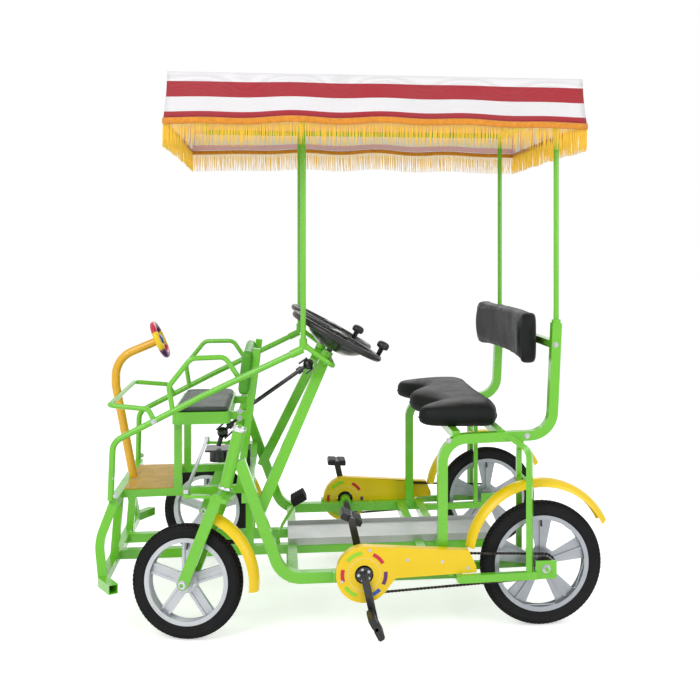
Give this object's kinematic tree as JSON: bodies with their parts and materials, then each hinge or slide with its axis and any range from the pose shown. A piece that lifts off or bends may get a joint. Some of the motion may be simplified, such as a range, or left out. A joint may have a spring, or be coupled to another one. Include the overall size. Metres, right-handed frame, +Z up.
{
  "type": "pedal quadricycle",
  "caption": "Side-by-side pedal quadricycle with a welded tube frame, wide rider seat, front child bench, steering wheels, crank and chain drives and a striped, fringed canopy.",
  "frame": {"origin": "middle of the bounding box on the floor between the wheels", "axes": "-X forwards, +Y to the riders' right, +Z up"},
  "size_m": [1.7948, 1.305, 1.943],
  "materials": {
    "frame_green": "gloss paint",
    "guard_yellow": "moulded plastic",
    "post_yellow": "gloss paint",
    "board_ochre": "satin paint",
    "tyre_black": "matt rubber",
    "wheel_silver": "silver paint",
    "seat_black": "satin covering",
    "bench_grey": "satin covering",
    "bench_green": "satin covering",
    "wheel_black": "satin plastic",
    "gear_black": "satin paint",
    "crank_black": "gloss paint",
    "pedal_black": "moulded plastic",
    "chain_dark": "oiled steel",
    "rod_silver": "zinc plate",
    "tray_grey": "sheet metal",
    "toy_colours": "moulded plastic",
    "canopy_stripe": "woven cloth",
    "fringe_gold": "braid and fringe"
  },
  "bodies": {
    "chassis": {"side_frame_left": "frame_green", "side_frame_right": "frame_green", "mudguards_rear": "guard_yellow", "centre_frame": "frame_green", "front_frame": "frame_green", "bench_frame": "frame_green", "bench_pad": "bench_grey", "bench_back": "bench_green", "foot_board": "board_ochre", "toy_post": "post_yellow", "toy_wheel": "toy_colours", "handrails": "frame_green", "steering_columns": "frame_green", "front_posts": "frame_green", "steering_gear": "gear_black", "seat_frame": "frame_green", "rear_posts": "frame_green", "seat_cushion": "seat_black", "backrest": "seat_black", "floor_tray": "tray_grey", "brake_pedal": "frame_green", "chain_guards": "guard_yellow", "chains": "chain_dark", "canopy_frame": "frame_green", "canopy_cloth": "canopy_stripe", "canopy_fringe": "fringe_gold"},
    "fork_left": {"fork_left": "frame_green", "mudguard_front_left": "guard_yellow"},
    "wheel_front_left": {"tyre_front_left": "tyre_black", "rim_front_left": "wheel_silver"},
    "wheel_rear_left": {"tyre_rear_left": "tyre_black", "rim_rear_left": "wheel_silver", "sprocket_left": "chain_dark"},
    "crank_left": {"crank_left": "crank_black", "pedals_left": "pedal_black"},
    "steering_wheel_left": {"steering_wheel_left": "wheel_black"},
    "fork_right": {"fork_right": "frame_green", "mudguard_front_right": "guard_yellow"},
    "wheel_front_right": {"tyre_front_right": "tyre_black", "rim_front_right": "wheel_silver"},
    "wheel_rear_right": {"tyre_rear_right": "tyre_black", "rim_rear_right": "wheel_silver", "sprocket_right": "chain_dark"},
    "crank_right": {"crank_right": "crank_black", "pedals_right": "pedal_black"},
    "steering_wheel_right": {"steering_wheel_right": "wheel_black"},
    "tie_rod": {"tie_rod": "rod_silver"}
  },
  "joints": [
    {"name": "steer_left", "type": "hinge", "parent": "chassis", "child": "fork_left", "pos_m": [-0.4424, -0.475, 0.503], "axis": [0.2317, 0, 0.9728], "range_deg": [-14, 42]},
    {"name": "steer_right", "type": "hinge", "parent": "chassis", "child": "fork_right", "pos_m": [-0.4424, 0.475, 0.503], "axis": [0.2317, 0, 0.9728], "range_deg": [-14, 42]},
    {"name": "tie_rod_pivot", "type": "hinge", "parent": "fork_left", "child": "tie_rod", "pos_m": [-0.57377, -0.44463, 0.47714], "axis": [0.2317, 0, 0.9728], "range_deg": [-42, 14]},
    {"name": "wheel_turn_left", "type": "hinge", "parent": "chassis", "child": "steering_wheel_left", "pos_m": [-0.0454, -0.215, 1], "axis": [0.4818, 0, 0.8763], "range_deg": [-28, 84]},
    {"name": "wheel_turn_right", "type": "hinge", "parent": "chassis", "child": "steering_wheel_right", "pos_m": [-0.0454, 0.215, 1], "axis": [0.4818, 0, 0.8763], "range_deg": [-28, 84]},
    {"name": "front_spin_left", "type": "hinge", "parent": "fork_left", "child": "wheel_front_left", "pos_m": [-0.56791, -0.46249, 0.19274], "axis": [0.2353, 0.9703, -0.0561], "continuous": true},
    {"name": "front_spin_right", "type": "hinge", "parent": "fork_right", "child": "wheel_front_right", "pos_m": [-0.56791, 0.48751, 0.19274], "axis": [0.2353, 0.9703, -0.0561], "continuous": true},
    {"name": "rear_spin_left", "type": "hinge", "parent": "chassis", "child": "wheel_rear_left", "pos_m": [0.6606, -0.475, 0.2175], "axis": [0, 1, 0], "continuous": true},
    {"name": "rear_spin_right", "type": "hinge", "parent": "chassis", "child": "wheel_rear_right", "pos_m": [0.6606, 0.475, 0.2175], "axis": [0, 1, 0], "continuous": true},
    {"name": "crank_spin_left", "type": "hinge", "parent": "chassis", "child": "crank_left", "pos_m": [0.0296, 0, 0.214], "axis": [0, 1, 0], "continuous": true},
    {"name": "crank_spin_right", "type": "hinge", "parent": "chassis", "child": "crank_right", "pos_m": [0.0296, 0, 0.214], "axis": [0, 1, 0], "continuous": true}
  ],
  "couplings": [
    {"joint": "steer_right", "follows": "steer_left", "ratio": 1},
    {"joint": "tie_rod_pivot", "follows": "steer_left", "ratio": -1},
    {"joint": "wheel_turn_left", "follows": "steer_left", "ratio": 2},
    {"joint": "wheel_turn_right", "follows": "steer_left", "ratio": 2}
  ]
}
